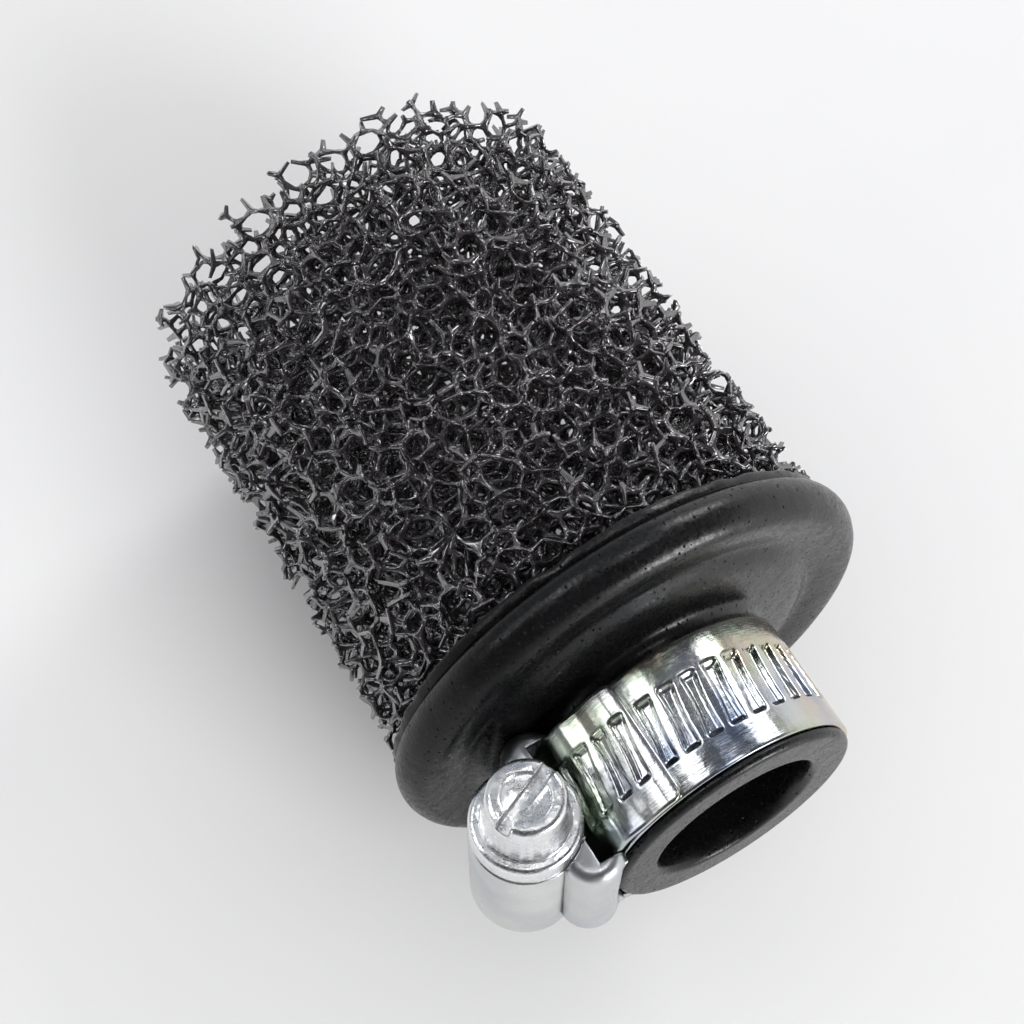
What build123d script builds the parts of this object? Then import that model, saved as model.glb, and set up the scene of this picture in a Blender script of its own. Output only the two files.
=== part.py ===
"""Small clamp-on foam air filter: a rubber base with a hose neck, a reticulated foam element and
a worm-drive clamp.

The origin is the centre of the bore at the mouth of the neck. The filter's axis is Y: the mouth
looks along -Y and the foam reaches along +Y. The clamp's screw stands along Z on the -X side of
the neck. Lengths are millimetres and angles are degrees. An angle round the neck is counted from
the clamp's screw (-X) towards the screw's head (+Z).
"""

from build123d import *
from math import cos, degrees, radians, sin
import os

# Rubber base
BORE_RADIUS = 6.0
MOUTH_LIP_RADIUS = 9.05
MOUTH_LIP_LENGTH = 0.65
MOUTH_FILLET = 0.45
NECK_RADIUS = 8.70
NECK_LENGTH = 10.3
COLLAR_INNER_RADIUS = 16.75
FOAM_SEAT = 13.5

# Corners of the flange's section, each as (radius, distance from the mouth), from the neck outwards
BOSS_FOOT = (9.6, 11.05)
BOSS_EDGE = (12.4, 11.3)
UNDERSIDE_CREASE = (13.5, 12.2)
UNDERSIDE_EDGE = (16.5, 11.45)
RIM_FOOT = (17.85, 12.4)
RIM_CROWN = (18.1, 13.3)
RIM_SHOULDER = (17.9, 14.2)
STEP_EDGE = (17.45, 14.55)
STEP_FOOT = (17.3, 14.5)
COLLAR_EDGE = (17.4, 15.35)
COLLAR_LIP = (COLLAR_INNER_RADIUS, 15.4)

# Radii of the rounds between those corners
NECK_ROOT_ROUND = 0.9
BOSS_ROUND = 1.2
UNDERSIDE_HOLLOW = 9.0
FLANGE_EDGE_ROUND = 1.5
STEP_ROUND = 0.5
COLLAR_LIP_ROUND = 0.36

# Adhesive and foam
GLUE_THICKNESS = 0.3
GLUE_INNER_RADIUS = 8.0
FOAM_FOOT_RADIUS = 16.70
FOAM_FOOT_TOP = 15.7
FOAM_SHOULDER = 17.1
FOAM_RADIUS = 17.3
FOAM_END = 52.0
FOAM_HOLLOW_RADIUS = 7.0
FOAM_END_WALL = 9.0

# Clamp strip
STRIP_THICKNESS = 0.6
STRIP_WIDTH = 9.0
STRIP_START = 0.70
GROOVE_PITCH = 1.7
GROOVE_WIDTH = 0.95
GROOVE_LENGTH = 4.7
GROOVE_DEPTH = 0.42
GROOVE_TILT = 8.0
LAYER_GAP = 0.03
LOOP_FIXED_END = -22.0
LOOP_LIFT_START = 300.0
LOOP_LIFT_END = 328.0
LOOP_FREE_END = 335.0
LOOP_GROOVES_START = 36.0
LOOP_GROOVES_END = 292.0
TAIL_START = -15.0
TAIL_DROP_START = 34.0
TAIL_DROP_END = 46.0
TAIL_END = 63.0
TAIL_PLAIN_END = 4.5
TAIL_CORNER_RADIUS = 0.5

# Saddle and screw housing
WEB_THICKNESS = 0.45
WEB_MARGIN = 0.6
LOBE_RADIUS = 2.05
LOBE_SHEET = 0.6
LOBE_ROUND = 0.9
LOBE_OFFSET = 3.75
LOBE_FORWARD = 2.7
LOBE_TOP = 5.0
LOBE_BOTTOM = -5.2
SHEET_GAP = 0.01
WEB_BOTTOM = -4.2
WEB_TOP = 3.8
HOUSING_SHEET = 0.55
HOUSING_BOTTOM = -6.6
HOUSING_TOP = 4.3
HOUSING_FOOT_FILLET = 1.0

# Worm screw
THREAD_CREST_RADIUS = 3.15
THREAD_ROOT_RADIUS = 2.45
THREAD_BITE = 0.35
THREAD_CREST_WIDTH = 0.42
THREAD_ROOT_WIDTH = 0.80
THREAD_SUNK = 0.2
THREAD_TURNS_BELOW = 3
THREAD_TURNS_ABOVE = 2
PILOT_RADIUS = 1.5
COLLAR_OUTER_RADIUS = 3.7
COLLAR_HEIGHT = 1.9
COLLAR_FILLET = 0.4
HEAD_BASE_RADIUS = 2.95
HEAD_RADIUS = 2.6
HEAD_HEIGHT = 4.0
HEAD_FILLET = 0.5
DRIVE_SLOT_WIDTH = 0.95
DRIVE_SLOT_DEPTH = 0.75
DRIVE_SLOT_ANGLE = 23.0
HEAD_DISH_RADIUS = 1.6
HEAD_DISH_DEPTH = 0.3
RUNNING_GAP = 0.05

# Reach of a cutting shape that has to pass right through the clamp
CUT_REACH = 20.0

# Places that follow from the sizes above
strip_middle = STRIP_START + STRIP_WIDTH / 2
loop_inner = NECK_RADIUS + LAYER_GAP
loop_outer = loop_inner + STRIP_THICKNESS
web_inner = loop_outer + LAYER_GAP
web_outer = web_inner + WEB_THICKNESS
tail_inner = web_outer + LAYER_GAP
tail_outer = tail_inner + STRIP_THICKNESS
loop_radius = (loop_inner + loop_outer) / 2
tail_radius = (tail_inner + tail_outer) / 2
tail_low_radius = loop_outer + LAYER_GAP + STRIP_THICKNESS / 2
screw_x = -(tail_outer - THREAD_BITE + THREAD_CREST_RADIUS)
housing_inner = THREAD_CREST_RADIUS + RUNNING_GAP
housing_outer = housing_inner + HOUSING_SHEET
screw_plane = Plane(origin=(screw_x, strip_middle, 0), z_dir=(0, 0, 1))
strip_plane = Plane.XZ.offset(-STRIP_START)

os.makedirs("parts", exist_ok=True)


def neck_arc(radius, first_angle, last_angle):
    """An arc round the neck, in the XZ plane, between two angles counted from the clamp's screw."""
    return CenterArc((0, 0), radius, 180 - first_angle, first_angle - last_angle)


def finish(builder, name):
    """Names the piece and writes its file."""
    builder.part.label = name
    export_step(builder.part, f"parts/{name}.step")


def tail_path_radius(angle):
    """The radius of the tail's middle: raised over the saddle's web, then dropping to lie on the loop."""
    share = (angle - TAIL_DROP_START) / (TAIL_DROP_END - TAIL_DROP_START)
    return tail_radius + (tail_low_radius - tail_radius) * min(max(share, 0), 1)


def groove_planes(path_radius, first_angle, last_angle):
    """A plane at the foot of each pressed groove, one every pitch, leaning by the worm's lead."""
    step = degrees(GROOVE_PITCH / path_radius(first_angle))
    lean = radians(GROOVE_TILT)
    planes = []
    for index in range(int((last_angle - first_angle) / step) + 1):
        angle = first_angle + index * step
        turn = radians(angle)
        foot_radius = path_radius(angle) + STRIP_THICKNESS / 2 - GROOVE_DEPTH
        outward = (-cos(turn), 0, sin(turn))
        along_groove = (sin(turn) * sin(lean), cos(lean), cos(turn) * sin(lean))
        foot = (foot_radius * outward[0], strip_middle, foot_radius * outward[2])
        planes.append(Plane(origin=foot, x_dir=along_groove, z_dir=outward))
    return planes


# Rubber base: neck, flange and the thin collar round the foam, moulded in one piece
with BuildPart() as rubber_base:
    with BuildSketch() as base_profile:
        with BuildLine():
            bore = Line((BORE_RADIUS, FOAM_SEAT), (BORE_RADIUS, 0))
            mouth = Line(bore @ 1, (MOUTH_LIP_RADIUS, 0))
            lip = Line(mouth @ 1, (MOUTH_LIP_RADIUS, MOUTH_LIP_LENGTH))
            lip_back = Line(lip @ 1, (NECK_RADIUS, MOUTH_LIP_LENGTH))
            neck = Line(lip_back @ 1, (NECK_RADIUS, NECK_LENGTH))
            root = RadiusArc(neck @ 1, BOSS_FOOT, NECK_ROOT_ROUND)
            boss = Line(root @ 1, BOSS_EDGE)
            boss_side = RadiusArc(boss @ 1, UNDERSIDE_CREASE, -BOSS_ROUND)
            underside = RadiusArc(boss_side @ 1, UNDERSIDE_EDGE, -UNDERSIDE_HOLLOW)
            edge = RadiusArc(underside @ 1, RIM_FOOT, -FLANGE_EDGE_ROUND)
            rim = ThreePointArc(edge @ 1, RIM_CROWN, RIM_SHOULDER)
            rim_top = RadiusArc(rim @ 1, STEP_EDGE, -STEP_ROUND)
            step = Line(rim_top @ 1, STEP_FOOT)
            collar = Line(step @ 1, COLLAR_EDGE)
            collar_top = RadiusArc(collar @ 1, COLLAR_LIP, -COLLAR_LIP_ROUND)
            collar_inside = Line(collar_top @ 1, (COLLAR_INNER_RADIUS, FOAM_SEAT))
            Line(collar_inside @ 1, bore @ 0)
        make_face()
        fillet(base_profile.vertices().sort_by(Axis.Y)[:2], radius=MOUTH_FILLET)
    revolve(axis=Axis.Y)
finish(rubber_base, "rubber_base")

# Adhesive: the thin ring that bonds the foam to its seat in the flange
with BuildPart() as adhesive_ring:
    with BuildSketch(Plane.XZ.offset(-FOAM_SEAT)):
        Circle(FOAM_FOOT_RADIUS)
        Circle(GLUE_INNER_RADIUS, mode=Mode.SUBTRACT)
    extrude(amount=-GLUE_THICKNESS)
finish(adhesive_ring, "adhesive_ring")

# Foam element: a blind tube, so that air passes through the wall into the hollow and down the bore
foam_start = FOAM_SEAT + GLUE_THICKNESS
with BuildPart() as foam_element:
    with BuildSketch():
        with BuildLine():
            Polyline(
                (FOAM_HOLLOW_RADIUS, foam_start),
                (FOAM_FOOT_RADIUS, foam_start),
                (FOAM_FOOT_RADIUS, FOAM_FOOT_TOP),
                (FOAM_RADIUS, FOAM_SHOULDER),
                (FOAM_RADIUS, FOAM_END),
                (0, FOAM_END),
                (0, FOAM_END - FOAM_END_WALL),
                (FOAM_HOLLOW_RADIUS, FOAM_END - FOAM_END_WALL),
                close=True,
            )
        make_face()
    revolve(axis=Axis.Y)
finish(foam_element, "foam_element")

# Clamp band: the grooved strip, fixed under the saddle's web, once round the neck and up into the housing
with BuildPart() as clamp_band:
    with BuildSketch(strip_plane):
        with BuildLine():
            wrap = neck_arc(loop_radius, LOOP_FIXED_END, LOOP_LIFT_START)
            inside = neck_arc(tail_radius, LOOP_LIFT_END, LOOP_FREE_END)
            Spline(wrap @ 1, inside @ 0, tangents=(wrap % 1, inside % 0))
        trace(line_width=STRIP_THICKNESS)
    extrude(amount=-STRIP_WIDTH)
    with BuildSketch(*groove_planes(lambda angle: loop_radius, LOOP_GROOVES_START, LOOP_GROOVES_END)):
        SlotOverall(GROOVE_LENGTH, GROOVE_WIDTH)
    extrude(amount=STRIP_THICKNESS, mode=Mode.SUBTRACT)
finish(clamp_band, "clamp_band")

# Band tail: the strip's free end, from the worm's bite in the housing over the loop below the screw's head
with BuildPart() as band_tail:
    with BuildSketch(strip_plane):
        with BuildLine():
            raised = neck_arc(tail_radius, TAIL_START, TAIL_DROP_START)
            resting = neck_arc(tail_low_radius, TAIL_DROP_END, TAIL_END)
            Spline(raised @ 1, resting @ 0, tangents=(raised % 1, resting % 0))
        trace(line_width=STRIP_THICKNESS)
    extrude(amount=-STRIP_WIDTH)
    thickness_edges = band_tail.edges().filter_by(lambda edge: edge.length < 2 * STRIP_THICKNESS)
    fillet(thickness_edges.group_by(Axis.X)[-1], radius=TAIL_CORNER_RADIUS)
    first_groove = -degrees(GROOVE_PITCH / tail_radius)
    with BuildSketch(*groove_planes(tail_path_radius, first_groove, TAIL_END - TAIL_PLAIN_END)):
        SlotOverall(GROOVE_LENGTH, GROOVE_WIDTH)
    extrude(amount=STRIP_THICKNESS, mode=Mode.SUBTRACT)
finish(band_tail, "band_tail")

# Saddle: a web between the loop and the tail, with its two sides rolled up over the edges of the strip
with BuildPart() as clamp_saddle:
    with BuildSketch(Plane.XY.offset(LOBE_BOTTOM)):
        with Locations((screw_x + LOBE_FORWARD, strip_middle)):
            with GridLocations(0, 2 * LOBE_OFFSET, 1, 2):
                Circle(LOBE_RADIUS)
    extrude(amount=LOBE_TOP - LOBE_BOTTOM)
    fillet(clamp_saddle.edges().filter_by(GeomType.CIRCLE), radius=LOBE_ROUND)
    with BuildSketch(Plane.XY.offset(LOBE_BOTTOM + LOBE_SHEET)):
        with Locations((screw_x + LOBE_FORWARD, strip_middle)):
            with GridLocations(0, 2 * LOBE_OFFSET, 1, 2):
                Circle(LOBE_RADIUS - LOBE_SHEET)
    extrude(amount=LOBE_TOP - LOBE_BOTTOM - 2 * LOBE_SHEET, mode=Mode.SUBTRACT)
    with BuildSketch(strip_plane.offset(RUNNING_GAP)):
        with Locations((-tail_outer - RUNNING_GAP, 0)):
            Rectangle(CUT_REACH, CUT_REACH, align=(Align.MIN, Align.CENTER))
    extrude(amount=-STRIP_WIDTH - 2 * RUNNING_GAP, mode=Mode.SUBTRACT)
    with BuildSketch(strip_plane.offset(WEB_MARGIN)):
        Circle(web_outer)
        with Locations((-web_outer, (WEB_TOP + WEB_BOTTOM) / 2)):
            Rectangle(web_outer, WEB_TOP - WEB_BOTTOM, mode=Mode.INTERSECT)
    extrude(amount=-STRIP_WIDTH - 2 * WEB_MARGIN)
    with BuildSketch(Plane.XZ):
        Circle(web_inner)
    extrude(amount=CUT_REACH, both=True, mode=Mode.SUBTRACT)
    with BuildSketch(screw_plane):
        Circle(housing_outer + SHEET_GAP)
    extrude(amount=CUT_REACH, both=True, mode=Mode.SUBTRACT)
finish(clamp_saddle, "clamp_saddle")

# Housing: the barrel round the worm, open towards the strip and closed round the screw's pilot at its foot
with BuildPart() as clamp_housing:
    with BuildSketch(screw_plane.offset(HOUSING_BOTTOM)):
        Circle(housing_outer)
    extrude(amount=HOUSING_TOP - HOUSING_BOTTOM)
    fillet(clamp_housing.edges().sort_by(Axis.Z)[0], radius=HOUSING_FOOT_FILLET)
    with BuildSketch(screw_plane.offset(HOUSING_BOTTOM + HOUSING_SHEET)):
        Circle(housing_inner)
    extrude(amount=HOUSING_TOP - HOUSING_BOTTOM, mode=Mode.SUBTRACT)
    with BuildSketch(screw_plane.offset(HOUSING_BOTTOM)):
        Circle(PILOT_RADIUS + RUNNING_GAP)
    extrude(amount=HOUSING_SHEET, mode=Mode.SUBTRACT)
    with BuildSketch(Plane.XZ):
        Circle(tail_outer + RUNNING_GAP)
    extrude(amount=CUT_REACH, both=True, mode=Mode.SUBTRACT)
finish(clamp_housing, "clamp_housing")

# Screw: pilot, worm thread, collar and slotted head, turned as one piece
collar_bottom = HOUSING_TOP + RUNNING_GAP
head_bottom = collar_bottom + COLLAR_HEIGHT
head_top = head_bottom + HEAD_HEIGHT
worm_bottom = HOUSING_BOTTOM + HOUSING_SHEET + RUNNING_GAP
with BuildPart() as clamp_screw:
    with BuildSketch(screw_plane.offset(HOUSING_BOTTOM)):
        Circle(PILOT_RADIUS)
    extrude(amount=worm_bottom - HOUSING_BOTTOM)
    with BuildSketch(screw_plane.offset(worm_bottom)):
        Circle(THREAD_ROOT_RADIUS)
    extrude(amount=collar_bottom - worm_bottom)
    with BuildLine(screw_plane.offset(-THREAD_TURNS_BELOW * GROOVE_PITCH)):
        thread_path = Helix(
            pitch=GROOVE_PITCH,
            height=(THREAD_TURNS_BELOW + THREAD_TURNS_ABOVE) * GROOVE_PITCH,
            radius=THREAD_ROOT_RADIUS,
        )
    with BuildSketch(Plane(origin=thread_path @ 0, x_dir=(0, 0, 1), z_dir=thread_path % 0)):
        with BuildLine():
            Polyline(
                (-THREAD_ROOT_WIDTH / 2, THREAD_SUNK),
                (THREAD_ROOT_WIDTH / 2, THREAD_SUNK),
                (THREAD_CREST_WIDTH / 2, THREAD_ROOT_RADIUS - THREAD_CREST_RADIUS),
                (-THREAD_CREST_WIDTH / 2, THREAD_ROOT_RADIUS - THREAD_CREST_RADIUS),
                close=True,
            )
        make_face()
    sweep(path=thread_path, is_frenet=True)
    with BuildSketch(screw_plane.offset(collar_bottom)):
        Circle(COLLAR_OUTER_RADIUS)
    extrude(amount=COLLAR_HEIGHT)
    collar_rims = clamp_screw.edges().filter_by(GeomType.CIRCLE).sort_by(SortBy.RADIUS)[-2:]
    fillet(collar_rims, radius=COLLAR_FILLET)
    with BuildSketch(screw_plane.offset(head_bottom)):
        Circle(HEAD_BASE_RADIUS)
    with BuildSketch(screw_plane.offset(head_top)):
        Circle(HEAD_RADIUS)
    loft()
    fillet(clamp_screw.edges().sort_by(Axis.Z)[-1], radius=HEAD_FILLET)
    with BuildSketch(screw_plane.offset(head_top)):
        Circle(HEAD_DISH_RADIUS)
    extrude(amount=-HEAD_DISH_DEPTH, mode=Mode.SUBTRACT)
    with BuildSketch(screw_plane.offset(head_top)):
        Rectangle(CUT_REACH, DRIVE_SLOT_WIDTH, rotation=DRIVE_SLOT_ANGLE)
    extrude(amount=-DRIVE_SLOT_DEPTH, mode=Mode.SUBTRACT)
finish(clamp_screw, "clamp_screw")
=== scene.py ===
"""The clamp-on foam air filter in its studio view: foam network, moulded rubber and zinc-plated clamp."""

import bmesh
import bpy
import itertools
import math
import numpy as np
from mathutils import Matrix, Vector
from mathutils.kdtree import KDTree


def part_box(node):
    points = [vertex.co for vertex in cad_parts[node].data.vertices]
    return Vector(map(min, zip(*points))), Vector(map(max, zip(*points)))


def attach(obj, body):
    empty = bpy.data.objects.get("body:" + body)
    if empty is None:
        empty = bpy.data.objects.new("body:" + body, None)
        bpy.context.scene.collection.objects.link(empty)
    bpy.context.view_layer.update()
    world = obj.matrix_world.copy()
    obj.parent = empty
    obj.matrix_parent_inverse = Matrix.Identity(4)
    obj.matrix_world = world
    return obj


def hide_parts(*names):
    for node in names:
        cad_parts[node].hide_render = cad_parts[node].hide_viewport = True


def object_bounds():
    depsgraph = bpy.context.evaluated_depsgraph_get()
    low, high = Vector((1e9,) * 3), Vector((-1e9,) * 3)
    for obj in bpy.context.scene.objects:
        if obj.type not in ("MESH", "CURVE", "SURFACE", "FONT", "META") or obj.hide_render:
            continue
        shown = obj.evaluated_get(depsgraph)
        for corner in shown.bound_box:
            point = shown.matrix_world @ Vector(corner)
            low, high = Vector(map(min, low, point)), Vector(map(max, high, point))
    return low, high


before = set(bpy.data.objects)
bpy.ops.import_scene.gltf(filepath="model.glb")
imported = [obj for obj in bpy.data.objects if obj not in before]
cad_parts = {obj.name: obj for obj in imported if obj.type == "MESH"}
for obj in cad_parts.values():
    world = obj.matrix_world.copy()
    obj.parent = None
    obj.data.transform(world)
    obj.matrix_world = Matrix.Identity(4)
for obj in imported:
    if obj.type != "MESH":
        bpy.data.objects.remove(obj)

MM = 0.001
cad_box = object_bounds()

# Foam block and network: lengths in millimetres, the turn in radians, jitter and outer layer in cells
FOOT_INSET = 0.85
FOOT_RISE = 0.1
HOLLOW_RADIUS = 7.0
END_WALL = 9.0
FOAM_SEED = 7
CELL_PITCH = 3.15
CELL_JITTER = 0.30
LATTICE_TURN = 0.7
LATTICE_AXIS = (1, 2, 3)
OUTER_LAYER = 1.6
NEAR_SEEDS = 30
RELAX_STEPS = 5
RELAX_SHARE = 0.5
NODE_REACH = 0.33
NODE_SIDE_REACH = 0.30
NODE_SIDE_RADIUS = 0.085
STRUT_CUSP_RADIUS = 0.165
STRUT_SIDE_RADIUS = 0.075
STRUT_BEND = 0.06
SHORTEST_STUB = 0.30
CUT_ROUGHNESS = 0.9
CUT_STEP = 0.05
SHORTEST_CUT_SHARE = 0.75
FULL_NODE_STRUT = 0.95
SMALLEST_NODE = 0.45
FOAM_SECTORS = 6
FOAM_SLABS = 3
CORNER_POINTS = 18
RING_POINTS = 6

# Clamp strip as pressed: lengths in millimetres, angles in degrees
STRIP_STEP = 0.11
STRIP_SEAM = -30
PLAIN_MARGIN = 1.1
EDGE_ROUND = 0.14
EDGE_STEPS = 4
FACE_STEPS = 64
BACK_STEPS = 12
GROOVE_PITCH = 1.7
GROOVE_LENGTH = 4.7
GROOVE_TILT = 8.0
GROOVE_DEPTH = 0.40
GROOVE_WIDTH = 1.05
GROOVE_WAIST = 0.72
GROOVE_WALL = 0.30
GROOVE_END_WALL = 0.42
LOOP_GROOVES = (36.0, 292.0)
TAIL_GROOVES = (-9.6, 58.0)
TAIL_CORNER = 0.8
TAIL_FEATHER = 1.1
TAIL_TIP_SHARE = 0.45

# Rubber base, turned from its own section: lengths in millimetres
RUBBER_SEED = 3
LATHE_STEPS = 440
FINE_STEPS = 4000
SECTION_STEPS = 215
BORE_REACH = 0.1
SEAT_REACH = 2.2
COLLAR_WIDTH = 1.2
HIDDEN_WEIGHT = 0.22
CREASE_RADII = (10.2, 16.9)
CREASE_TOP = 12.8
CREASE_BLEND = 0.8
CREASE_STEP = 0.25
CREASE_PASSES = 30
RIM_START = 12.0
RIM_BLEND = 5.0
COLLAR_START = 14.6
COLLAR_BLEND = 0.8
LEAN_TURNS = (2, 3, 5)
LEAN_HEIGHT = 0.08
LEAN_OUTWARD = 0.3
LEAN_ALONG = 0.6
RAGGED_TURNS = (7, 11, 17, 23, 31, 47)
RAGGED_HEIGHT = 0.11
RAGGED_INWARD = 0.8
STEP_GROOVE = (17.3, 14.5)
STEP_GROOVE_DEPTH = 0.28
STEP_GROOVE_SPREAD = 0.22

# Studio: sizes in millimetres, angles in degrees; a softbox is its direction, half width and radiance
FLOOR_HALF = 3000
SOFTBOXES = [
    ((-0.36, 0.40, 0.84), 8, 5.0), ((0.65, 0.40, 0.64), 9, 6.0), ((0.39, -0.90, 0.18), 10, 12.0),
    ((-0.74, 0.35, 0.55), 8, 3.0), ((0.15, 0.05, 0.98), 7, 3.0),
]
SOFTBOX_OUTER = 4
SOFTBOX_INNER = 2
COOL_TINT = 1.02
AMBIENT = (0.76, 0.76, 0.765)
BACKDROP = (0.93, 0.93, 0.935)
CAMERA_AIM = (-3.1, 23.9, 7.5)
CAMERA_AZIMUTH = -30.8
CAMERA_ELEVATION = 62.0
CAMERA_DISTANCE = 143.1
CAMERA_LENS = 74.7
CAMERA_SENSOR = 36.0
CAMERA_NEAR = 5.0


def unit(vectors):
    """Each vector at length one."""
    return vectors / np.maximum(np.linalg.norm(vectors, axis=-1, keepdims=True), 1e-9)


def across(vectors, axes):
    """The part of each vector that is square to its axis, at length one."""
    return unit(vectors - (vectors * axes).sum(-1, keepdims=True) * axes)


class FoamBlock:
    """The space the foam fills: a cylinder on Y, with a blind hollow and a narrower foot in the collar."""

    def __init__(self):
        low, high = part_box("foam_element")
        collar_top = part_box("rubber_base")[1].y
        self.start, self.end = low.y / MM, high.y / MM
        self.radius = high.x / MM
        self.foot_radius = self.radius - FOOT_INSET
        self.foot_top = collar_top / MM + FOOT_RISE
        self.hollow_end = self.end - END_WALL

    def depth(self, points):
        """How far each point lies inside the block, negative outside."""
        radius = np.hypot(points[..., 0], points[..., 2])
        along = points[..., 1]
        skin = np.where(along < self.foot_top, self.foot_radius, self.radius)
        ends = np.minimum(along - self.start, self.end - along)
        hollow = np.maximum(radius - HOLLOW_RADIUS, along - self.hollow_end)
        return np.minimum(np.minimum(skin - radius, ends), hollow)


def foam_seeds(block, rng):
    """Cell centres: a turned and shaken body-centred lattice, kept in the foam and one layer round it."""
    reach = int(block.end / CELL_PITCH) + 4
    steps = np.arange(-reach, reach + 1)
    corners = np.stack(np.meshgrid(steps, steps, steps, indexing="ij"), -1).reshape(-1, 3)
    lattice = np.concatenate([corners, corners + 0.5]) * CELL_PITCH
    turn = np.array(Matrix.Rotation(LATTICE_TURN, 3, Vector(LATTICE_AXIS).normalized()))
    points = lattice @ turn.T + (0, (block.start + block.end) / 2, 0)
    points = points[block.depth(points) > -OUTER_LAYER * CELL_PITCH]
    points += rng.uniform(-CELL_JITTER, CELL_JITTER, points.shape) * CELL_PITCH
    return points[rng.permutation(len(points))]


def cell_corners(seeds):
    """Cell corners, each the centre of an empty sphere through four seeds: (sorted seeds, places)."""
    tree = KDTree(len(seeds))
    for number, seed in enumerate(seeds):
        tree.insert(seed, number)
    tree.balance()
    triples = {n: np.array(list(itertools.combinations(range(n), 3)), int) for n in range(3, NEAR_SEEDS + 1)}
    fours, places = [], []
    for number, seed in enumerate(seeds):
        near = np.array([found[1] for found in tree.find_n(seed, NEAR_SEEDS + 1)])
        near = near[near != number]
        planes = seeds[near] - seed
        squares = (planes**2).sum(1)
        later = near > number
        order = np.argsort(near[later])
        near_later = near[later][order]
        if len(near_later) < 3:
            continue
        one, two, three = triples[len(near_later)].T
        offsets, sizes = planes[later][order], squares[later][order]
        normals = np.cross(offsets[two], offsets[three])
        volume = (offsets[one] * normals).sum(1)
        centre = sizes[one][:, None] * normals
        centre += sizes[two][:, None] * np.cross(offsets[three], offsets[one])
        centre += sizes[three][:, None] * np.cross(offsets[one], offsets[two])
        centre /= 2 * np.where(np.abs(volume) < 1e-9, 1e-9, volume)[:, None]
        empty = (2 * centre @ planes.T <= squares + 1e-7).all(1)
        corner = np.stack([near_later[one], near_later[two], near_later[three]], 1)[empty]
        fours.append(np.column_stack([np.full(len(corner), number), corner]))
        places.append(centre[empty] + seed)
    fours, places = np.concatenate(fours), np.concatenate(places)
    sizes = np.linalg.norm(places - seeds[fours[:, 0]], axis=1)
    nearest = np.array([tree.find(place)[2] for place in places])
    true_corner = nearest > sizes - 1e-4
    return fours[true_corner], places[true_corner]


def corner_neighbours(fours):
    """For each corner and seed left out, the strut's other end as 4 * corner + slot, or -1 for none."""
    count = fours.max() + 1
    keys = []
    for left_out in range(4):
        kept = np.delete(fours, left_out, 1).astype(np.int64)
        keys.append((kept[:, 0] * count + kept[:, 1]) * count + kept[:, 2])
    keys = np.stack(keys, 1).ravel()
    order = np.argsort(keys, kind="stable")
    same = np.flatnonzero(keys[order][1:] == keys[order][:-1])
    partner = np.full(len(keys), -1)
    partner[order[same]] = order[same + 1]
    partner[order[same + 1]] = order[same]
    return partner.reshape(-1, 4)


def main_web(linked):
    """Which corners belong to the largest connected web, given each corner's linked neighbours or -1."""
    label = np.arange(len(linked))
    while True:
        beside = np.where(linked >= 0, label[linked], label[:, None]).min(1)
        joined = np.minimum(label, beside)
        joined = joined[joined]
        if (joined == label).all():
            break
        label = joined
    names, counts = np.unique(label, return_counts=True)
    return label == names[counts.argmax()]


def foam_web(block):
    """The foam's random source, corners, the corner beyond each strut or -1, and the left-handed corners."""
    rng = np.random.default_rng(FOAM_SEED)
    seeds = foam_seeds(block, rng)
    fours, corners = cell_corners(seeds)
    partner = corner_neighbours(fours)
    beyond = np.where(partner >= 0, partner // 4, -1)
    whole = (beyond >= 0).all(1)
    for _ in range(RELAX_STEPS):
        middle = corners[beyond].mean(1)
        corners = np.where(whole[:, None], corners + RELAX_SHARE * (middle - corners), corners)
    edges = seeds[fours[:, 1:]] - seeds[fours[:, :1]]
    left_handed = (np.cross(edges[:, 0], edges[:, 1]) * edges[:, 2]).sum(1) < 0
    return rng, corners, beyond, left_handed


def cut_web(block, rng, corners, beyond):
    """Which corners stay, and how much of each strut: 1 for a whole one, less for one cut at the skin."""
    ragged = rng.uniform(0, CUT_ROUGHNESS, len(corners))
    inside = block.depth(corners) > ragged
    linked = np.where((beyond >= 0) & inside[:, None] & inside[beyond], beyond, -1)
    kept = main_web(linked) & inside
    linked = np.where(kept[:, None], linked, -1)
    reach = corners[beyond] - corners[:, None]
    length = np.linalg.norm(reach, axis=2)
    share = np.zeros(beyond.shape)
    for step in np.linspace(CUT_STEP, 1, round(1 / CUT_STEP)):
        at = corners[:, None] + step * reach
        still = (block.depth(at) > 0) & (np.abs(share - (step - CUT_STEP)) < 1e-6)
        share = np.where(still, step, share)
    share = np.where(linked >= 0, 1, share * rng.uniform(SHORTEST_CUT_SHARE, 1, beyond.shape))
    share = np.where(kept[:, None] & (beyond >= 0) & (share * length > SHORTEST_STUB), share, 0)
    return kept, share


PAIRS = list(itertools.combinations(range(4), 2))


def ridge_of(one, two):
    """The place in a corner's vertex list of its ridge on the window between two cells."""
    return PAIRS.index((min(one, two), max(one, two)))


def side_of(strut, cell):
    """The place in a corner's vertex list of a strut's hollow side that faces a cell."""
    others = [slot for slot in range(4) if slot != strut]
    return len(PAIRS) + 3 * strut + others.index(cell)


def ring_of(strut):
    """A strut's six vertices at a corner, in order round it: ridge, hollow side, ridge, and so on."""
    x, y, z = [slot for slot in range(4) if slot != strut]
    return [
        ridge_of(x, y), side_of(strut, y), ridge_of(y, z),
        side_of(strut, z), ridge_of(x, z), side_of(strut, x),
    ]


def patch_of(cell):
    """The six vertices of a corner's patch that faces a cell."""
    one, two, three = [slot for slot in range(4) if slot != cell]
    return [
        side_of(one, cell), ridge_of(cell, three), side_of(two, cell),
        ridge_of(cell, one), side_of(three, cell), ridge_of(cell, two),
    ]


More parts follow.
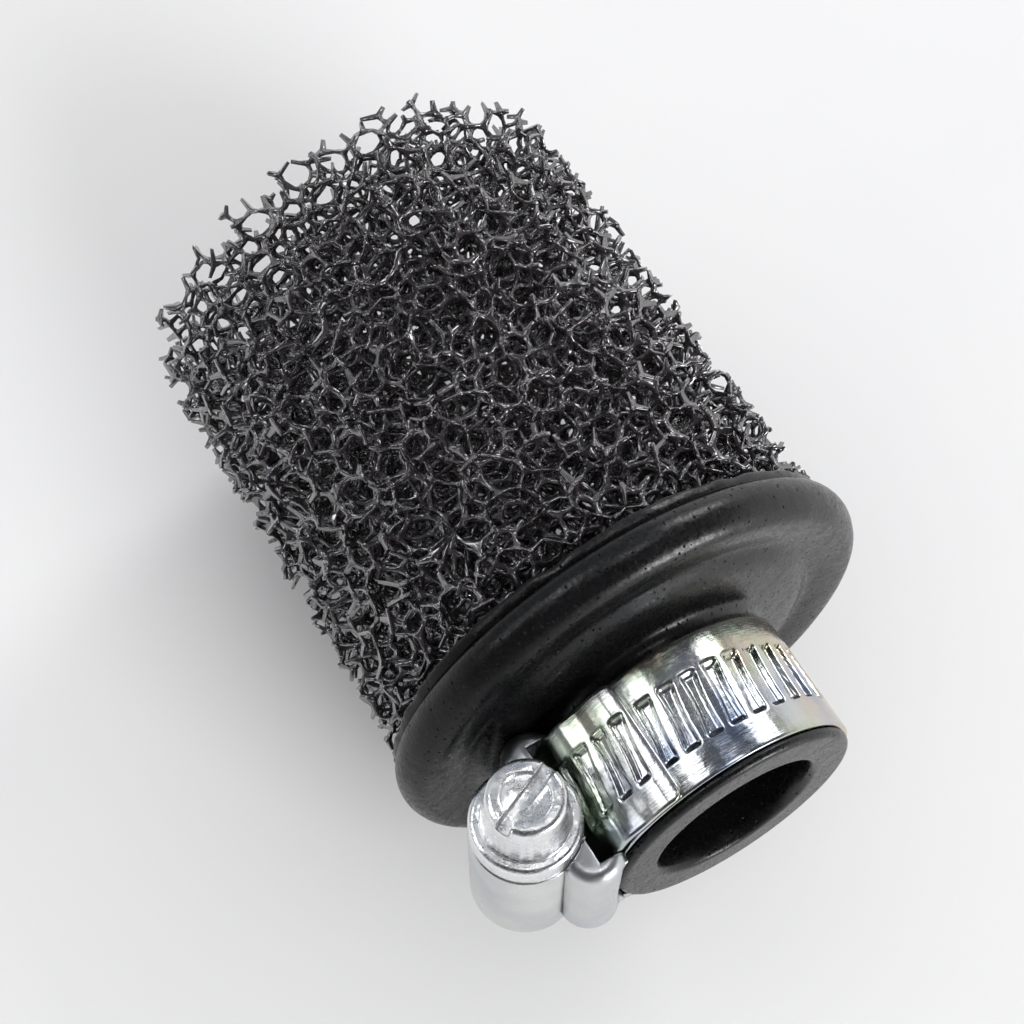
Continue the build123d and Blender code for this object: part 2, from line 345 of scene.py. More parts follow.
OTHER_SLOTS = np.array([[slot for slot in range(4) if slot != strut] for strut in range(4)])
RINGS = np.array([ring_of(strut) for strut in range(4)])


def turned(polygons, wrong):
    """The polygons, with those that face the wrong way reversed."""
    return np.where(wrong[:, None], polygons[:, ::-1], polygons)


def corner_vertices(corners, beyond):
    """The vertices round each corner (six window ridges, twelve hollow sides) and its struts' headings."""
    reach = corners[beyond] - corners[:, None]
    length = np.where(beyond >= 0, np.linalg.norm(reach, axis=2), 1.0)
    heading = unit(reach)
    size = np.clip(length.min(1) / FULL_NODE_STRUT, SMALLEST_NODE, 1.0)[:, None]
    vertices = []
    for one, two in PAIRS:
        third, fourth = [slot for slot in range(4) if slot not in (one, two)]
        vertices.append(corners + NODE_REACH * size * unit(heading[:, third] + heading[:, fourth]))
    for strut in range(4):
        for cell in range(4):
            if cell != strut:
                away = across(heading[:, cell], heading[:, strut])
                along = NODE_SIDE_REACH * size * heading[:, strut]
                vertices.append(corners + along - NODE_SIDE_RADIUS * away)
    return np.stack(vertices, 1), heading


def strut_ring(centre, ridges):
    """Six vertices round a strut's centre from its three ridge directions, in the order of ring_of."""
    cusp = centre[:, None] + STRUT_CUSP_RADIUS * ridges
    side = centre[:, None] - STRUT_SIDE_RADIUS * ridges
    return np.stack([cusp[:, 2], side[:, 1], cusp[:, 0], side[:, 2], cusp[:, 1], side[:, 0]], 1)


def tube(near, far, reversed_ring):
    """The six quads between two rings of vertex numbers."""
    quads = np.stack([near, np.roll(near, -1, 1), np.roll(far, -1, 1), far], -1)
    return turned(quads.reshape(-1, 4), np.repeat(reversed_ring, RING_POINTS))


def foam_group(members, group, corners, beyond, left_handed, share, around, heading, bend):
    """One group of corners as vertices and polygons, closed where a strut stops or leaves the group."""
    number = np.full(len(corners), -1)
    number[members] = np.arange(len(members))
    points = [around[members].reshape(-1, 3)]
    total = CORNER_POINTS * len(members)
    quads, hexagons = [], []
    for cell in range(4):
        polygons = CORNER_POINTS * np.arange(len(members))[:, None] + np.array(patch_of(cell))
        hexagons.append(turned(polygons, left_handed[members] ^ (cell % 2 == 0)))
    for slot in range(4):
        ring = CORNER_POINTS * number[members][:, None] + RINGS[slot]
        axis = heading[members, slot]
        ridges = np.stack([across(heading[members, s], axis) for s in OTHER_SLOTS[slot]], 1)
        backward = left_handed[members] ^ (slot % 2 == 1)
        far = beyond[members, slot]
        whole = share[members, slot] >= 1
        mine = whole & ((group[far] > group[members]) | ((group[far] == group[members]) & (far > members)))
        given = whole & ~mine
        closed = ~whole & (share[members, slot] == 0) | (given & (group[far] != group[members]))
        hexagons.append(turned(ring[closed], backward[closed]))

        stub = ~whole & (share[members, slot] > 0)
        start = corners[members[stub]]
        end = start + share[members[stub], slot][:, None] * (corners[far[stub]] - start)
        tip = strut_ring(end, ridges[stub])
        tip_ring = total + np.arange(RING_POINTS * stub.sum()).reshape(-1, RING_POINTS)
        points.append(tip.reshape(-1, 3))
        total += RING_POINTS * stub.sum()
        quads.append(tube(ring[stub], tip_ring, backward[stub]))
        hexagons.append(turned(tip_ring, backward[stub]))

        here, there = members[mine], far[mine]
        back_slot = (beyond[there] == here[:, None]).argmax(1)
        pair_slots = OTHER_SLOTS[back_slot]
        their_ridges = np.stack([across(heading[there, pair_slots[:, k]], axis[mine]) for k in range(3)], 1)
        ridge = unit(ridges[mine] + their_ridges)
        centre = (corners[here] + corners[there]) / 2 + bend[here, slot]
        middle_ring = total + np.arange(RING_POINTS * mine.sum()).reshape(-1, RING_POINTS)
        points.append(strut_ring(centre, ridge).reshape(-1, 3))
        total += RING_POINTS * mine.sum()
        quads.append(tube(ring[mine], middle_ring, backward[mine]))
        same = group[there] == group[here]
        rings = RINGS[back_slot]
        far_ring = CORNER_POINTS * number[there][:, None] + rings
        quads.append(tube(middle_ring[same], far_ring[same], backward[mine][same]))
        over = ~same
        end_ring = total + np.arange(RING_POINTS * over.sum()).reshape(-1, RING_POINTS)
        points.append(around[there[over][:, None], rings[over]].reshape(-1, 3))
        total += RING_POINTS * over.sum()
        quads.append(tube(middle_ring[over], end_ring, backward[mine][over]))
        hexagons.append(turned(end_ring, backward[mine][over]))
    return np.concatenate(points), np.concatenate(quads), np.concatenate(hexagons)


def mesh_object(name, points, *polygon_sets):
    """A smooth-shaded object from points in metres and polygon arrays, one array for each polygon size."""
    mesh = bpy.data.meshes.new(name)
    mesh.vertices.add(len(points))
    mesh.vertices.foreach_set("co", np.asarray(points, np.float32).ravel())
    loops = np.concatenate([p.ravel() for p in polygon_sets])
    sizes = np.concatenate([np.full(len(p), p.shape[1]) for p in polygon_sets])
    mesh.loops.add(len(loops))
    mesh.loops.foreach_set("vertex_index", loops.astype(np.int32))
    mesh.polygons.add(len(sizes))
    mesh.polygons.foreach_set("loop_start", (np.cumsum(sizes) - sizes).astype(np.int32))
    mesh.update(calc_edges=True)
    mesh.shade_smooth()
    piece = bpy.data.objects.new(name, mesh)
    bpy.context.scene.collection.objects.link(piece)
    return piece


def dress(piece, material, body, node_name):
    """Gives a piece its material, has it ride a body and lets it stand for a CAD node."""
    piece.data.materials.append(material)
    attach(piece, body)
    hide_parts(node_name)


def build_foam(material):
    """The foam network, in sectors and slabs so that no one piece is too heavy."""
    block = FoamBlock()
    rng, corners, beyond, left_handed = foam_web(block)
    kept, share = cut_web(block, rng, corners, beyond)
    around, heading = corner_vertices(corners, beyond)
    sector = np.arctan2(corners[:, 2], corners[:, 0]) / (2 * math.pi) % 1
    slab = (corners[:, 1] - block.start) / (block.end - block.start)
    group = (sector * FOAM_SECTORS).astype(int) % FOAM_SECTORS
    group += FOAM_SECTORS * np.clip((slab * FOAM_SLABS).astype(int), 0, FOAM_SLABS - 1)
    bend = rng.normal(0, STRUT_BEND, beyond.shape + (3,))
    for index in range(FOAM_SECTORS * FOAM_SLABS):
        members = np.flatnonzero(kept & (group == index))
        points, quads, hexagons = foam_group(
            members, group, corners, beyond, left_handed, share, around, heading, bend
        )
        piece = mesh_object(f"foam_{index + 1:02d}", points * MM, quads, hexagons)
        dress(piece, material, "filter", "foam_element")


def cut_outline(node, point, normal, keep):
    """The closed outline where a plane cuts a CAD node, as points in order, where keep allows."""
    shape = bmesh.new()
    shape.from_mesh(node.data)
    bmesh.ops.remove_doubles(shape, verts=shape.verts, dist=1e-7)
    whole = list(shape.verts) + list(shape.edges) + list(shape.faces)
    cut = bmesh.ops.bisect_plane(shape, geom=whole, plane_co=point, plane_no=normal)["geom_cut"]
    beside = {}
    for edge in cut:
        if isinstance(edge, bmesh.types.BMEdge) and all(keep(vertex.co) for vertex in edge.verts):
            first, second = edge.verts
            beside.setdefault(first, []).append(second)
            beside.setdefault(second, []).append(first)
    start = min(beside, key=lambda vertex: vertex.co.y + vertex.co.z)
    outline, last, current = [start.co.copy()], None, start
    while True:
        following = next(vertex for vertex in beside[current] if vertex is not last)
        if following is start:
            break
        outline.append(following.co.copy())
        last, current = current, following
    shape.free()
    return np.array(outline)


def even_points(path, count, end=True, weights=1.0):
    """A path's points, evenly spaced along it, or closer together where its segments weigh more."""
    lengths = np.concatenate([[0], np.cumsum(np.linalg.norm(np.diff(path, axis=0), axis=1) * weights)])
    along = np.linspace(0, lengths[-1], count, endpoint=end)
    return np.stack([np.interp(along, lengths, path[:, axis]) for axis in range(path.shape[1])], 1)


def section_of(node):
    """The section of a turned CAD node as a closed loop of (radius, y) points, in metres, evenly spaced."""
    outline = cut_outline(node, (0, 0, 0), (1, 0, 0), lambda place: place.z > 0)
    closed = np.concatenate([outline, outline[:1]])[:, [2, 1]]
    closed = even_points(closed, FINE_STEPS)
    radius, along = closed[:-1].T
    bore = radius < radius.min() + BORE_REACH * MM
    seat = (along > along.max() - SEAT_REACH * MM) & (radius < radius.max() - COLLAR_WIDTH * MM)
    weights = np.where(bore | seat, HIDDEN_WEIGHT, 1.0)
    return even_points(closed, SECTION_STEPS, end=False, weights=weights)


def strip_sides(node, level):
    """The outer and inner lines of a bent strip, cut at a level of y, from its lower end to its free end."""
    outline = cut_outline(node, (0, level, 0), (0, 1, 0), lambda place: True)
    before = unit(outline - np.roll(outline, 1, 0))
    after = unit(np.roll(outline, -1, 0) - outline)
    corners = np.sort(np.argsort((before * after).sum(1))[:4])
    outline = np.roll(outline, -corners[0], 0)
    corners = np.append(corners - corners[0], len(outline))
    closed = np.concatenate([outline, outline[:1]])
    runs = [closed[corners[i]:corners[i + 1] + 1] for i in range(4)]
    lengths = [np.linalg.norm(np.diff(run, axis=0), axis=1).sum() for run in runs]
    longest = int(np.argmax(lengths))
    first, second = runs[longest], runs[(longest + 2) % 4][::-1]
    steps = int(lengths[longest] / (STRIP_STEP * MM))
    first, second = even_points(first, steps), even_points(second, steps)
    if np.linalg.norm(first[0]) > np.linalg.norm(second[0]):
        outer, inner = first, second
    else:
        outer, inner = second, first
    if clamp_angle(outer[0]) > clamp_angle(outer[-1]):
        outer, inner = outer[::-1], inner[::-1]
    return outer, inner


def clamp_angle(place):
    """The angle round the neck in degrees, from the screw towards its head, from STRIP_SEAM on."""
    return (np.degrees(np.arctan2(place[..., 2], -place[..., 0])) - STRIP_SEAM) % 360 + STRIP_SEAM


def strip_profile(half, edge, thickness):
    """The closed outline across a strip: levels from its middle, and lifts from 0 inside to 1 outside."""
    quarter = np.linspace(0, math.pi / 2, EDGE_STEPS)
    face = np.linspace(-1, 1, FACE_STEPS)
    back = np.linspace(1, -1, BACK_STEPS)
    level = np.concatenate([
        face * (half - edge),
        half - edge + edge * np.sin(quarter[1:]),
        half - edge + edge * np.cos(quarter[1:-1]),
        back * (half - edge),
        -half + edge - edge * np.sin(quarter[1:]),
        -half + edge - edge * np.cos(quarter[1:-1]),
    ])
    lift = np.concatenate([
        face * 0 + 1,
        1 - (1 - np.cos(quarter[1:])) * edge / thickness,
        (1 - np.sin(quarter[1:-1])) * edge / thickness,
        back * 0,
        (1 - np.cos(quarter[1:])) * edge / thickness,
        1 - (1 - np.sin(quarter[1:-1])) * edge / thickness,
    ])
    return level, lift


def eased(share):
    """A share from 0 to 1 with a soft start and end."""
    return share**2 * (3 - 2 * share)


def groove_share(angle, across_mm, radius, first_groove, last_groove):
    """How far each point of a strip is pressed in, from 0 to 1, by a row of waisted, leaning grooves."""
    groove_step = math.degrees(GROOVE_PITCH * MM / radius)
    phase = (angle - first_groove) / groove_step
    shifted = phase - across_mm * math.tan(math.radians(GROOVE_TILT)) / GROOVE_PITCH
    from_groove = np.abs((shifted + 0.5) % 1 - 0.5) * GROOVE_PITCH
    number = np.round(shifted)
    row = (number >= 0) & (number <= (last_groove - first_groove) // groove_step)
    along_groove = np.abs(across_mm) / (GROOVE_LENGTH / 2)
    wide = GROOVE_WAIST / 2 + (GROOVE_WIDTH - GROOVE_WAIST) / 2 * np.minimum(along_groove, 1) ** 2
    walls = np.clip((wide + GROOVE_WALL / 2 - from_groove) / GROOVE_WALL, 0, 1)
    ends = np.clip((1 - along_groove) * GROOVE_LENGTH / 2 / GROOVE_END_WALL, 0, 1)
    return eased(walls) * eased(ends) * row


def build_strip(node_name, piece_name, body, first_groove, last_groove, square_end, material):
    """A bent strip with its pressed worm grooves, over the line of its CAD node, with rounded edges."""
    low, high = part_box(node_name)
    outer, inner = strip_sides(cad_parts[node_name], low.y + PLAIN_MARGIN * MM)
    thickness = np.linalg.norm(outer[0] - inner[0])
    middle, half = (low.y + high.y) / 2, (high.y - low.y) / 2
    level, lift = strip_profile(half, EDGE_ROUND * MM, thickness)
    outside = lift > 0.999
    angle = clamp_angle(outer)[:, None]
    radius = np.linalg.norm(outer[len(outer) // 4, [0, 2]])
    pressed = groove_share(angle, (level / MM)[None, :], radius, first_groove, last_groove)
    share = lift[None, :] - pressed * GROOVE_DEPTH * MM / thickness * outside
    length = np.concatenate([[0], np.cumsum(np.linalg.norm(np.diff(outer, axis=0), axis=1))])[:, None] / MM
    narrow = np.ones_like(length)
    if not square_end:
        from_end = length[-1] - length
        corner = np.clip(TAIL_CORNER - from_end, 0, TAIL_CORNER)
        narrow = 1 - (TAIL_CORNER - np.sqrt(TAIL_CORNER**2 - corner**2)) * MM / half
        feather = np.clip(from_end / TAIL_FEATHER, 0, 1) ** 0.5
        share = share * (TAIL_TIP_SHARE + (1 - TAIL_TIP_SHARE) * feather)
    points = inner[:, None] + share[..., None] * (outer - inner)[:, None]
    points[..., 1] = middle + level[None, :] * narrow
    count = len(level)
    here = np.arange(len(outer) - 1)[:, None] * count + np.arange(count)
    beside = np.roll(here, -1, 1)
    quads = np.stack([here, here + count, beside + count, beside], -1).reshape(-1, 4)
    caps = np.stack([np.arange(count), (len(outer) - 1) * count + np.arange(count)[::-1]])
    piece = mesh_object(piece_name, points.reshape(-1, 3), quads, caps)
    outward_normals(piece)
    dress(piece, material, body, node_name)


def outward_normals(piece):
    """Turns a closed piece's faces to look outwards."""
    shape = bmesh.new()
    shape.from_mesh(piece.data)
    bmesh.ops.recalc_face_normals(shape, faces=shape.faces)
    shape.to_mesh(piece.data)
    shape.free()


def lathe(name, section, move):
    """Turns a closed section round Y; move shifts the grid of points, given each point's angle."""
    angles = np.linspace(0, 2 * math.pi, LATHE_STEPS, endpoint=False)
    radius = section[None, :, 0].repeat(LATHE_STEPS, 0)
    along = section[None, :, 1].repeat(LATHE_STEPS, 0)
    radius, along = move(radius, along, angles[:, None])
    points = np.stack([radius * np.cos(angles)[:, None], along, radius * np.sin(angles)[:, None]], -1)
    count = len(section)
    here = np.arange(LATHE_STEPS)[:, None] * count + np.arange(count)
    beyond = np.roll(here, -1, 0)
    quads = np.stack([here, np.roll(here, -1, 1), np.roll(beyond, -1, 1), beyond], -1).reshape(-1, 4)
    piece = mesh_object(name, points.reshape(-1, 3), quads)
    outward_normals(piece)
    return piece


def refined(node_name, piece_name, body, material, edge_width):
    """A CAD node's own shape with its sharp edges rounded, standing for that node."""
    shape = bmesh.new()
    shape.from_mesh(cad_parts[node_name].data)
    bmesh.ops.remove_doubles(shape, verts=shape.verts, dist=1e-7)
    bmesh.ops.dissolve_limit(shape, angle_limit=math.radians(1), verts=shape.verts, edges=shape.edges)
    mesh = bpy.data.meshes.new(piece_name)
    shape.to_mesh(mesh)
    shape.free()
    mesh.shade_smooth()
    piece = bpy.data.objects.new(piece_name, mesh)
    bpy.context.scene.collection.objects.link(piece)
    rounding = piece.modifiers.new("rounding", "BEVEL")
    rounding.width = edge_width * MM
    rounding.segments = 2
    rounding.limit_method = "ANGLE"
    rounding.angle_limit = math.radians(32)
    rounding.use_clamp_overlap = False
    rounding.harden_normals = True
    dress(piece, material, body, node_name)


def wave(angles, rng, turns, height):
    """A smooth random wave round a circle: the sum of sines of several whole numbers of turns."""
    total = np.zeros_like(angles)
    for turn in turns:
        total = total + rng.normal(0, height) * np.sin(turn * angles + rng.uniform(0, 2 * math.pi))
    return total / math.sqrt(len(turns))


def worn_creases(section):
    """The section with the creases between the boss and the flange's edge worn smooth."""
    radius, along = section.T / MM
    first, last = CREASE_RADII
    past_first = np.clip((radius - first) / CREASE_BLEND, 0, 1)
    before_last = np.clip((last - radius) / CREASE_BLEND, 0, 1)
    share = past_first * before_last * (along < CREASE_TOP)
    soft = section.copy()
    for _ in range(CREASE_PASSES):
        soft = soft + (np.roll(soft, 1, 0) + np.roll(soft, -1, 0) - 2 * soft) * CREASE_STEP * share[:, None]
    return soft


def build_rubber(material):
    """The rubber base turned from its CAD section, with the slight unevenness of a soft moulding."""
    rng = np.random.default_rng(RUBBER_SEED)
    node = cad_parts["rubber_base"]

    def soften(radius, along, angles):
        rim = np.clip((radius / MM - RIM_START) / RIM_BLEND, 0, 1)
        collar = np.clip((along / MM - COLLAR_START) / COLLAR_BLEND, 0, 1)
        lean = wave(angles, rng, LEAN_TURNS, LEAN_HEIGHT) * rim
        ragged = wave(angles, rng, RAGGED_TURNS, RAGGED_HEIGHT) * collar
        off = np.hypot(radius / MM - STEP_GROOVE[0], along / MM - STEP_GROOVE[1]) / STEP_GROOVE_SPREAD
        groove = STEP_GROOVE_DEPTH * np.exp(-(off**2))
        radius = radius + MM * (LEAN_OUTWARD * lean - RAGGED_INWARD * np.abs(ragged) - groove) * rim
        return radius, along + MM * (lean * LEAN_ALONG + ragged) * rim

    piece = lathe("rubber_moulding", worn_creases(section_of(node)), soften)
    dress(piece, material, "filter", "rubber_base")


def node_material(name):
    """A new material with its shader's node tree: (material, tree, shader)."""
    material = bpy.data.materials.new(name)
    material.use_nodes = True
    tree = material.node_tree
    return material, tree, tree.nodes["Principled BSDF"]


def add_node(tree, kind, inputs=None, **settings):
    """A shader node with settings, and with inputs given as values or as sockets to join."""
    node = tree.nodes.new(kind)
    for key, value in settings.items():
        setattr(node, key, value)
    for key, value in (inputs or {}).items():
        if isinstance(value, bpy.types.NodeSocket):
            tree.links.new(value, node.inputs[key])
        else:
            node.inputs[key].default_value = value
    return node


def place(tree, stretch=(1, 1, 1)):
    """Object coordinates in millimetres, stretched."""
    coordinates = add_node(tree, "ShaderNodeTexCoord")
    scale = [part / MM for part in stretch]
    inputs = {"Vector": coordinates.outputs["Object"], "Scale": scale}
    return add_node(tree, "ShaderNodeMapping", inputs).outputs[0]


def noise(tree, vector, scale, detail=3.0, roughness=0.55):
    """Noise between 0 and 1 with features of about 1 / scale millimetres."""
    inputs = {"Vector": vector, "Scale": scale, "Detail": detail, "Roughness": roughness}
    return add_node(tree, "ShaderNodeTexNoise", inputs).outputs["Fac"]


def spread(tree, value, low, high, to_low, to_high):
    """Maps low..high to to_low..to_high, clamped."""
    inputs = {"Value": value, "From Min": low, "From Max": high, "To Min": to_low, "To Max": to_high}
    return add_node(tree, "ShaderNodeMapRange", inputs).outputs["Result"]


def ramp(tree, value, stops):
    """A colour ramp from a list of (place, colour)."""
    node = add_node(tree, "ShaderNodeValToRGB", {"Fac": value})
    for index, (at, colour) in enumerate(stops):
        element = node.color_ramp.elements[index] if index < 2 else node.color_ramp.elements.new(at)
        element.position = at
        element.color = (*colour, 1)
    return node.outputs["Color"]


def mixed(tree, share, first, second, blend="MIX"):
    """Two colours mixed by a share."""
    node = add_node(tree, "ShaderNodeMix", data_type="RGBA", blend_type=blend)
    for key, value in ((0, share), (6, first), (7, second)):
        if isinstance(value, bpy.types.NodeSocket):
            tree.links.new(value, node.inputs[key])
        else:
            node.inputs[key].default_value = value if key == 0 else (*value, 1)
    return node.outputs[2]


def bumped(tree, shader, height, depth_mm, strength=1.0, under=None):
    """Joins a bump of a depth in millimetres to a shader, over another bump if one is given."""
    inputs = {"Height": height, "Distance": depth_mm * MM, "Strength": strength}
    if under is not None:
        inputs["Normal"] = under
    normal = add_node(tree, "ShaderNodeBump", inputs).outputs["Normal"]
    tree.links.new(normal, shader.inputs["Normal"])
    return normal


def foam_material():
    """Glossy black polyurethane with a faint purple-brown tint and slightly uneven skin."""
    material, tree, shader = node_material("reticulated_foam")
    at = place(tree)
    tint = noise(tree, at, 0.35)
    tree.links.new(ramp(tree, tint, [(0.3, (0.016, 0.012, 0.014)), (0.7, (0.036, 0.028, 0.033))]),
                   shader.inputs["Base Color"])
    tree.links.new(spread(tree, noise(tree, at, 2.5), 0.3, 0.7, 0.12, 0.28), shader.inputs["Roughness"])
    shader.inputs["Specular IOR Level"].default_value = 1.0
    shader.inputs["IOR"].default_value = 1.7
    shader.inputs["Coat Weight"].default_value = 1.0
    shader.inputs["Coat Roughness"].default_value = 0.06
    shader.inputs["Coat IOR"].default_value = 1.8
    bumped(tree, shader, noise(tree, at, 6.0, 2.0), 0.02, 0.4)
    return material


def rubber_material():
    """Moulded black rubber: fine pits, grey bloom and a satin skin, with its reflection dimmed towards the
    left as painted shade.
    """
    material, tree, shader = node_material("moulded_rubber")
    at = place(tree)
    bloom = noise(tree, at, 0.22, 5.0, 0.65)
    specks = noise(tree, at, 3.5, 2.0, 0.6)
    base = ramp(tree, bloom, [(0.35, (0.002, 0.002, 0.0022)), (0.7, (0.005, 0.005, 0.0054))])
    dusty = ramp(tree, specks, [(0.66, (0, 0, 0)), (0.76, (0.022, 0.022, 0.024))])
    tree.links.new(mixed(tree, 1.0, base, dusty, "ADD"), shader.inputs["Base Color"])
    tree.links.new(spread(tree, specks, 0.40, 0.75, 0.24, 0.44), shader.inputs["Roughness"])
    swell = bumped(tree, shader, noise(tree, at, 0.45, 3.0, 0.5), 0.22, 0.5)
    grain = bumped(tree, shader, noise(tree, at, 4.5, 2.0, 0.6), 0.012, 0.9, swell)
    cells = add_node(tree, "ShaderNodeTexVoronoi", {"Vector": place(tree, (1.0, 0.6, 1.0)), "Scale": 2.0})
    sound = spread(tree, cells.outputs["Distance"], 0.07, 0.19, 0.0, 1.0)
    # Painted shade: the specular level falls from right to left along X, so the left side reflects less and
    # looks darker; pits lower it further.
    across_x = add_node(tree, "ShaderNodeSeparateXYZ", {"Vector": at}).outputs["X"]
    gloss = spread(tree, across_x, -11.0, 2.0, 0.22, 0.55)
    pits_and_painted_shade = add_node(tree, "ShaderNodeMath", {0: sound, 1: gloss}, operation="MULTIPLY").outputs[0]
    tree.links.new(pits_and_painted_shade, shader.inputs["Specular IOR Level"])
    bumped(tree, shader, sound, 0.10, 1.0, grain)
    return material


def glue_material():
    """Dried gloss-black contact adhesive."""
    material, tree, shader = node_material("dried_adhesive")
    at = place(tree)
    tints = [(0.3, (0.012, 0.012, 0.012)), (0.7, (0.05, 0.047, 0.045))]
    tree.links.new(ramp(tree, noise(tree, at, 1.0), tints), shader.inputs["Base Color"])
    tree.links.new(spread(tree, noise(tree, at, 2.0), 0.3, 0.7, 0.3, 0.6), shader.inputs["Roughness"])
    bumped(tree, shader, noise(tree, at, 3.0, 4.0), 0.15, 0.6)
    return material


def zinc_material(name, stretch, tints, roughness, scratches, dents, sides=()):
    """Zinc plate: passivation tints, uneven polish, scratches and dents; sides are tints along X."""
    material, tree, shader = node_material(name)
    shader.inputs["Metallic"].default_value = 1.0
    at = place(tree)
    film = noise(tree, at, 0.16, 3.0, 0.5)
    plain = ramp(tree, film, tints)
    across_x = add_node(tree, "ShaderNodeSeparateXYZ", {"Vector": at}).outputs["X"]
    patch = noise(tree, at, 0.3, 2.0, 0.5)
    tinted = plain
    for start, full, share, colour in sides:
        near = spread(tree, across_x, start, full, 0.0, 1.0)
        blush = add_node(tree, "ShaderNodeMath", {0: near, 1: patch}, operation="MULTIPLY").outputs[0]
        tinted = mixed(tree, spread(tree, blush, 0.2, 0.6, 0.0, share), tinted, colour)
    tree.links.new(tinted, shader.inputs["Base Color"])
    drawn = noise(tree, place(tree, stretch), 1.0, 5.0, 0.6)
    cloud = noise(tree, at, 0.8, 4.0, 0.6)
    polish = add_node(tree, "ShaderNodeMath", {0: drawn, 1: cloud}, operation="MULTIPLY").outputs[0]
    tree.links.new(spread(tree, polish, 0.12, 0.42, *roughness), shader.inputs["Roughness"])
    lines = bumped(tree, shader, drawn, scratches, 0.6)
    bumped(tree, shader, noise(tree, at, 1.4, 3.0, 0.5), dents, 0.5, lines)
    return material


def build_floor():
    """A pale paper floor at the object's lowest point."""
    mesh = bpy.data.meshes.new("floor")
    half = FLOOR_HALF * MM
    level = cad_box[0].z
    corners = [(-half, -half, level), (half, -half, level), (half, half, level), (-half, half, level)]
    mesh.from_pydata(corners, [], [(0, 1, 2, 3)])
    floor = bpy.data.objects.new("floor", mesh)
    bpy.context.scene.collection.objects.link(floor)
    paint, tree, shader = node_material("floor_paper")
    grain = noise(tree, place(tree), 0.02, 3.0)
    tints = [(0.3, (0.80, 0.80, 0.81)), (0.7, (0.83, 0.83, 0.83))]
    tree.links.new(ramp(tree, grain, tints), shader.inputs["Base Color"])
    shader.inputs["Roughness"].default_value = 0.7
    mesh.materials.append(paint)
    return floor


def soft_light(name, towards_light, width_deg, strength):
    """A wide, far, soft light from a direction; its reflection is painted in the world."""
    lamp = bpy.data.lights.new(name, "SUN")
    lamp.angle = math.radians(width_deg)
    lamp.energy = strength
    light = bpy.data.objects.new(name, lamp)
    light.rotation_euler = Vector(towards_light).to_track_quat("Z", "Y").to_euler()
    light.visible_glossy = False
    bpy.context.scene.collection.objects.link(light)


def reflected_room(sky):
    """What glossy surfaces see: a room dim on one side and lit on the other, with softboxes overhead."""
    direction = add_node(sky, "ShaderNodeTexCoord").outputs["Generated"]
    parts = add_node(sky, "ShaderNodeSeparateXYZ", {"Vector": direction}).outputs
    dim_stops = [(0.0, (0.55, 0.55, 0.56)), (0.2, (0.40, 0.41, 0.43)), (0.5, (0.07, 0.07, 0.08))]
    lit_stops = [(0.0, (1.0, 1.0, 1.0)), (0.3, (0.95, 0.95, 0.95)), (0.6, (0.10, 0.10, 0.11))]
    dim_side = ramp(sky, parts["Z"], dim_stops)
    lit_side = ramp(sky, parts["Z"], lit_stops)
    room = mixed(sky, spread(sky, parts["X"], -0.4, 0.6, 0.0, 1.0), dim_side, lit_side)
    behind = spread(sky, parts["Y"], 0.2, 0.45, 0.0, 0.9)
    room = mixed(sky, behind, room, (0.32, 0.35, 0.40), "LIGHTEN")
    for towards_box, wide, radiance in SOFTBOXES:
        facing = add_node(sky, "ShaderNodeVectorMath", {0: direction, 1: Vector(towards_box).normalized()},
                          operation="DOT_PRODUCT").outputs["Value"]
        outside = math.cos(math.radians(wide + SOFTBOX_OUTER))
        inside = math.cos(math.radians(wide - SOFTBOX_INNER))
        glow = (radiance, radiance, radiance * COOL_TINT)
        room = mixed(sky, spread(sky, facing, outside, inside, 0.0, 1.0), room, glow)
    return room


def build_world():
    """Even light for matt surfaces, a plain backdrop for the camera, and the room for glossy ones."""
    world = bpy.data.worlds.new("studio")
    bpy.context.scene.world = world
    world.use_nodes = True
    sky = world.node_tree
    backdrop = sky.nodes["Background"]
    rays = add_node(sky, "ShaderNodeLightPath").outputs
    seen = mixed(sky, rays["Is Camera Ray"], AMBIENT, BACKDROP)
    sky.links.new(mixed(sky, rays["Is Glossy Ray"], seen, reflected_room(sky)), backdrop.inputs["Color"])
    backdrop.inputs["Strength"].default_value = 1.0
    world.cycles.sampling_method = "NONE"


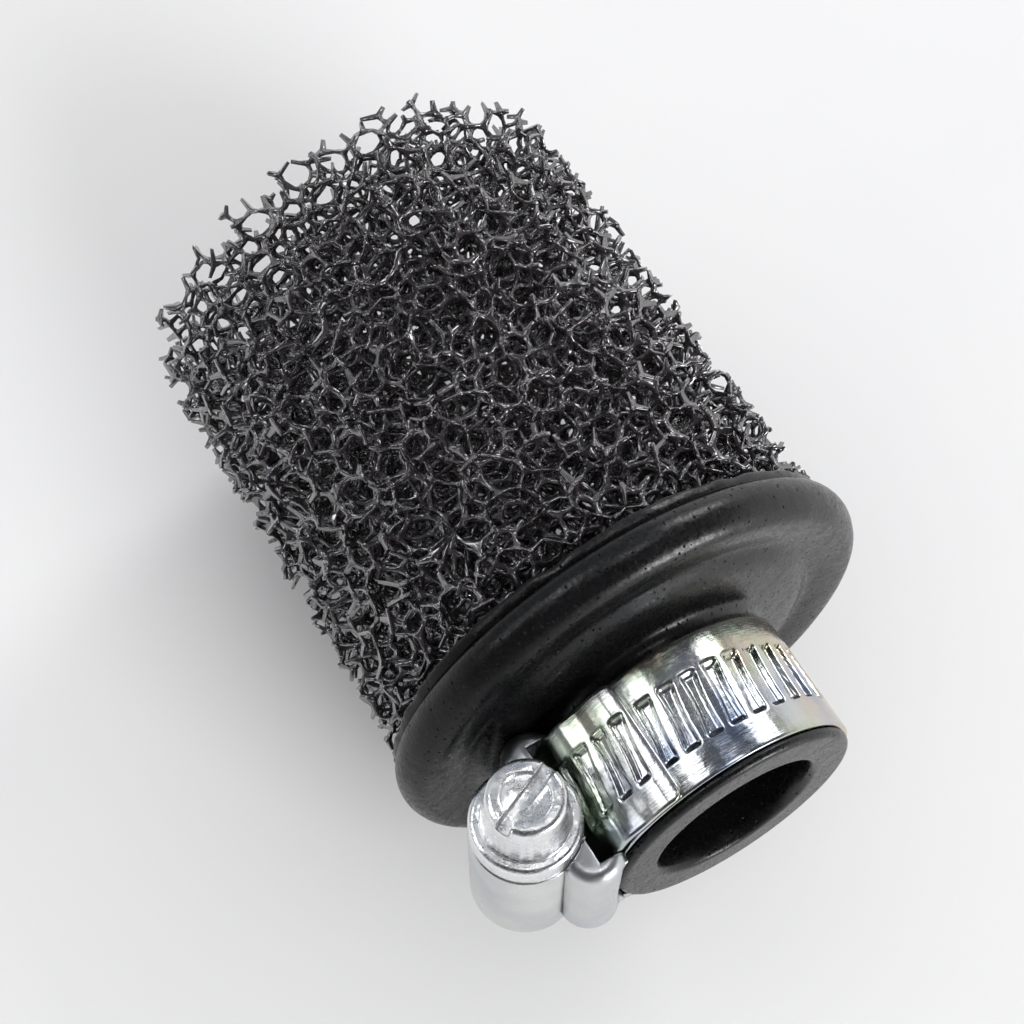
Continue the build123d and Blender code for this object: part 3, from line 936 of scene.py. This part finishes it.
def build_camera():
    """The camera, at the photo's viewing angle and distance."""
    azimuth = math.radians(CAMERA_AZIMUTH)
    elevation = math.radians(CAMERA_ELEVATION)
    level = Vector((math.sin(azimuth), -math.cos(azimuth), 0))
    towards = level * math.cos(elevation) + Vector((0, 0, math.sin(elevation)))
    lens = bpy.data.cameras.new("camera")
    lens.lens = CAMERA_LENS
    lens.sensor_width = CAMERA_SENSOR
    lens.clip_start = CAMERA_NEAR * MM
    camera = bpy.data.objects.new("camera", lens)
    camera.location = (Vector(CAMERA_AIM) + CAMERA_DISTANCE * towards) * MM
    camera.rotation_euler = (-towards).to_track_quat("-Z", "Y").to_euler()
    bpy.context.scene.collection.objects.link(camera)
    bpy.context.scene.camera = camera


foam_black = foam_material()
rubber_black = rubber_material()
glue_black = glue_material()
strip_tints = [
    (0.30, (0.34, 0.40, 0.52)), (0.42, (0.56, 0.58, 0.60)), (0.50, (0.60, 0.62, 0.59)),
    (0.58, (0.50, 0.56, 0.46)), (0.66, (0.60, 0.53, 0.42)), (0.78, (0.38, 0.44, 0.54)),
]
edge_tints = [(-6.0, -9.5, 0.8, (0.36, 0.48, 0.30)), (2.0, 8.0, 0.75, (0.62, 0.50, 0.34))]
zinc_strip = zinc_material("zinc_strip", (0.6, 9.0, 0.6), strip_tints, (0.08, 0.26), 0.010, 0.035,
                           edge_tints)
pale_tints = [(0.35, (0.56, 0.58, 0.60)), (0.65, (0.68, 0.70, 0.68))]
turned_tints = [(0.35, (0.78, 0.80, 0.82)), (0.65, (0.88, 0.89, 0.87))]
zinc_sheet = zinc_material("zinc_sheet", (2.0, 2.0, 9.0), pale_tints, (0.26, 0.42), 0.012, 0.03)
zinc_turned = zinc_material("zinc_turned", (2.0, 2.0, 7.0), turned_tints, (0.20, 0.38), 0.03, 0.10)

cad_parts["adhesive_ring"].data.materials.clear()
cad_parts["adhesive_ring"].data.materials.append(glue_black)
build_strip("clamp_band", "strip_loop", "clamp", *LOOP_GROOVES, True, zinc_strip)
build_strip("band_tail", "strip_tail", "tail", *TAIL_GROOVES, False, zinc_strip)
refined("clamp_saddle", "saddle", "clamp", zinc_sheet, 0.12)
refined("clamp_housing", "barrel", "clamp", zinc_sheet, 0.12)
refined("clamp_screw", "worm_screw", "screw", zinc_turned, 0.08)
build_rubber(rubber_black)
build_foam(foam_black)

floor = build_floor()
soft_light("front", (0.11, -0.89, 0.45), 30, 2.0)
soft_light("window", (0.82, 0.23, 0.53), 23, 0.80)
build_world()
build_camera()
bpy.context.scene.view_settings.view_transform = "Standard"
